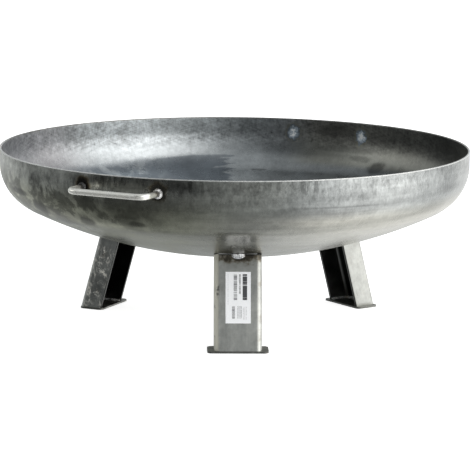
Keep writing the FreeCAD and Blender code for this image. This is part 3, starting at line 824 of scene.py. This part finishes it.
# ---------------------------------------------------------------- the label
def label_paper():
    """White paper with generic bars and dashes. u and v are millimetres from its top left."""
    m = Surface("label_paper")
    mesh = nodes["product_label"].data
    face = max((p for p in mesh.polygons if p.normal.y < 0), key=lambda p: p.area)
    normal = face.normal.copy()
    across = Vector((0, 0, 1)).cross(normal).normalized()
    up = normal.cross(across).normalized()
    centre = middle("product_label")
    spans = [[(v.co - centre).dot(axis) for v in mesh.vertices] for axis in (across, up)]
    left, top = min(spans[0]), max(spans[1])
    u = m.multiply(m.math("SUBTRACT", m.along(centre, across), left), 1000.0)
    v = m.multiply(m.math("SUBTRACT", top, m.along(centre, up)), 1000.0)

    def within(value, low, high):
        return m.multiply(m.math("GREATER_THAN", value, low), m.math("LESS_THAN", value, high))

    def block(u0, u1, v0, v1):
        return m.multiply(within(u, u0, u1), within(v, v0, v1))

    def dashes(scale, share, seed):
        """Runs and gaps down the label, such as lines of print seen from far away."""
        place = m.add("ShaderNodeCombineXYZ")
        m.put(place.inputs[1], v)
        runs = m.noise(place.outputs[0], scale, 1.0, 0.5, (seed, 0, 0))
        return m.math("GREATER_THAN", runs, share)

    ink = m.multiply(block(27.8, 35.0, 3.4, 46), dashes(0.55, 0.41, 1.0), 0.97)
    ink = m.most(ink, m.multiply(block(21.8, 24.8, 3.4, 36), dashes(1.1, 0.44, 2.0), 0.60))
    ink = m.most(ink, m.multiply(block(13.2, 18.8, 3.4, 47), dashes(0.7, 0.46, 3.0), 0.75))
    ink = m.most(ink, m.multiply(block(3.0, 5.0, 4, 54), dashes(1.4, 0.46, 4.0), 0.16))
    ink = m.most(ink, m.multiply(block(10.4, 15.2, 56, 76.5), dashes(2.6, 0.47, 5.0), 0.80))
    for number, column in enumerate((19.2, 21.2, 23.2, 25.2)):
        bars = m.multiply(block(column, column + 1.2, 56, 76), dashes(1.6, 0.40, 6.0 + number))
        ink = m.most(ink, m.multiply(bars, 0.55))
    for number, column in enumerate((28.4, 30.8, 33.2)):
        bars = m.multiply(block(column, column + 1.0, 57, 78), dashes(1.5, 0.43, 11.0 + number))
        ink = m.most(ink, m.multiply(bars, 0.38))
    fibre = m.noise(m.at, 900.0, 3.0, 0.6)
    paper = m.ramp(fibre, [(0.3, (0.90, 0.91, 0.935)), (0.7, (0.96, 0.965, 0.98))])
    colour = m.mix(ink, paper, (0.035, 0.035, 0.040))
    return m.finish(colour, m.linear(fibre, 0.15, 0.42), 0.0, m.bump(fibre, 0.05, 0.0002))


paint("product_label", label_paper())


# ---------------------------------------------------------------- camera
# Fitted to the photo's outline, which settles the distance only weakly.
camera_data = bpy.data.cameras.new("camera")
camera_data.sensor_width = 36.0
camera_data.lens = 200.9
camera_data.clip_start = 0.1
camera_data.clip_end = 200.0
camera = bpy.data.objects.new("camera", camera_data)
PITCH, ROLL = 0.16995, 0.00905
camera.matrix_world = (Matrix.Translation((0.00173, -4.4356, 0.9075))
                       @ Matrix.Rotation(math.pi / 2 - PITCH, 4, "X")
                       @ Matrix.Rotation(ROLL, 4, "Z"))
bpy.context.scene.collection.objects.link(camera)
bpy.context.scene.camera = camera


# ---------------------------------------------------------------- floor and light
def make_floor():
    mesh = bpy.data.meshes.new("floor")
    shape = bmesh.new()
    bmesh.ops.create_circle(shape, cap_ends=True, segments=64, radius=60.0)
    shape.to_mesh(mesh)
    shape.free()
    floor = bpy.data.objects.new("floor", mesh)
    bpy.context.scene.collection.objects.link(floor)
    floor.location.z = -0.0002  # clear of the feet
    material = bpy.data.materials.new("floor_white")
    material.use_nodes = True
    n = Net(material.node_tree)
    shader = n.add("ShaderNodeBsdfPrincipled", Base_Color=(0.80, 0.80, 0.80), Roughness=0.9,
                   Emission_Color=(1, 1, 1), Emission_Strength=0.85)
    output = n.add("ShaderNodeOutputMaterial")
    n.tree.links.new(shader.outputs[0], output.inputs["Surface"])
    mesh.materials.append(material)
    floor.visible_glossy = False


def make_world():
    """A studio drawn as light by direction: a large softbox high on the right, a dimmer left and
    ceiling, and a white table below that is brighter on the right. Only reflections and shade see
    it. The camera sees plain white."""
    world = bpy.data.worlds.new("studio")
    world.use_nodes = True
    bpy.context.scene.world = world
    n = Net(world.node_tree)
    direction = n.add("ShaderNodeTexCoord").outputs["Generated"]
    x, y, z = n.add("ShaderNodeSeparateXYZ", Vector=direction).outputs
    turn = n.math("ARCTAN2", x, n.math("MULTIPLY", y, -1.0))
    turn = n.linear(turn, 0.5 / math.pi, 0.5)
    tilt = n.multiply(n.math("ARCSINE", z), 180 / math.pi)

    def around(levels):
        """Light round the studio from (degrees, level): 0 is the front, -Y, and + towards +X."""
        top = max(level for _, level in levels)
        stops = [((degrees + 180) / 360, level / top) for degrees, level in levels]
        return n.multiply(n.ramp(turn, stops, "CARDINAL"), top)

    below = around([(-180, 0.45), (-130, 0.24), (-90, 0.15), (-50, 0.18), (-30, 0.22), (-10, 0.33),
                    (10, 0.40), (30, 0.60), (50, 0.90), (70, 1.30), (90, 1.50), (110, 1.20),
                    (130, 0.95), (150, 0.90), (180, 0.45)])
    level = around([(-180, 0.52), (-165, 0.58), (-150, 0.74), (-130, 0.46), (-110, 0.28),
                    (-90, 0.22), (-70, 0.15), (-50, 0.10), (-30, 0.11), (-10, 0.22), (10, 0.37),
                    (30, 0.60), (50, 1.00), (70, 1.20), (90, 1.20), (110, 1.02), (130, 0.98),
                    (150, 1.15), (165, 1.30), (180, 0.52)])
    low_box = around([(-180, 0.50), (-130, 0.60), (-108, 0.95), (-78, 0.95), (-60, 0.36),
                      (-40, 0.14), (-15, 0.18), (6, 0.48), (28, 1.35), (55, 2.30), (75, 2.25),
                      (95, 1.60), (125, 0.85), (155, 0.60), (180, 0.50)])
    high_box = around([(-180, 0.40), (-120, 0.34), (-100, 0.70), (-80, 0.70), (-60, 0.26),
                       (-15, 0.26), (6, 0.55), (28, 1.40), (60, 2.30), (85, 2.10), (125, 0.90),
                       (160, 0.50), (180, 0.40)])
    light = n.between(n.smooth(tilt, -80, -66), 0.36, below)
    light = n.between(n.smooth(tilt, -54, -46), light, level)
    light = n.between(n.smooth(tilt, 0, 12), light, low_box)
    light = n.between(n.smooth(tilt, 28, 38), light, high_box)
    light = n.between(n.smooth(tilt, 50, 60), light, 0.50)
    colour = n.mix(n.smooth(light, 0.1, 1.4), (0.93, 0.98, 1.0), (1.0, 1.0, 0.985))
    seen = n.add("ShaderNodeLightPath").outputs["Is Camera Ray"]
    studio = n.add("ShaderNodeBackground", Color=colour, Strength=light)
    plain = n.add("ShaderNodeBackground", Color=(1, 1, 1), Strength=1.05)
    mixed = n.add("ShaderNodeMixShader", Fac=seen)
    n.tree.links.new(studio.outputs[0], mixed.inputs[1])
    n.tree.links.new(plain.outputs[0], mixed.inputs[2])
    output = n.add("ShaderNodeOutputWorld")
    n.tree.links.new(mixed.outputs[0], output.inputs["Surface"])


make_floor()
make_world()
bpy.context.scene.view_settings.view_transform = "Standard"
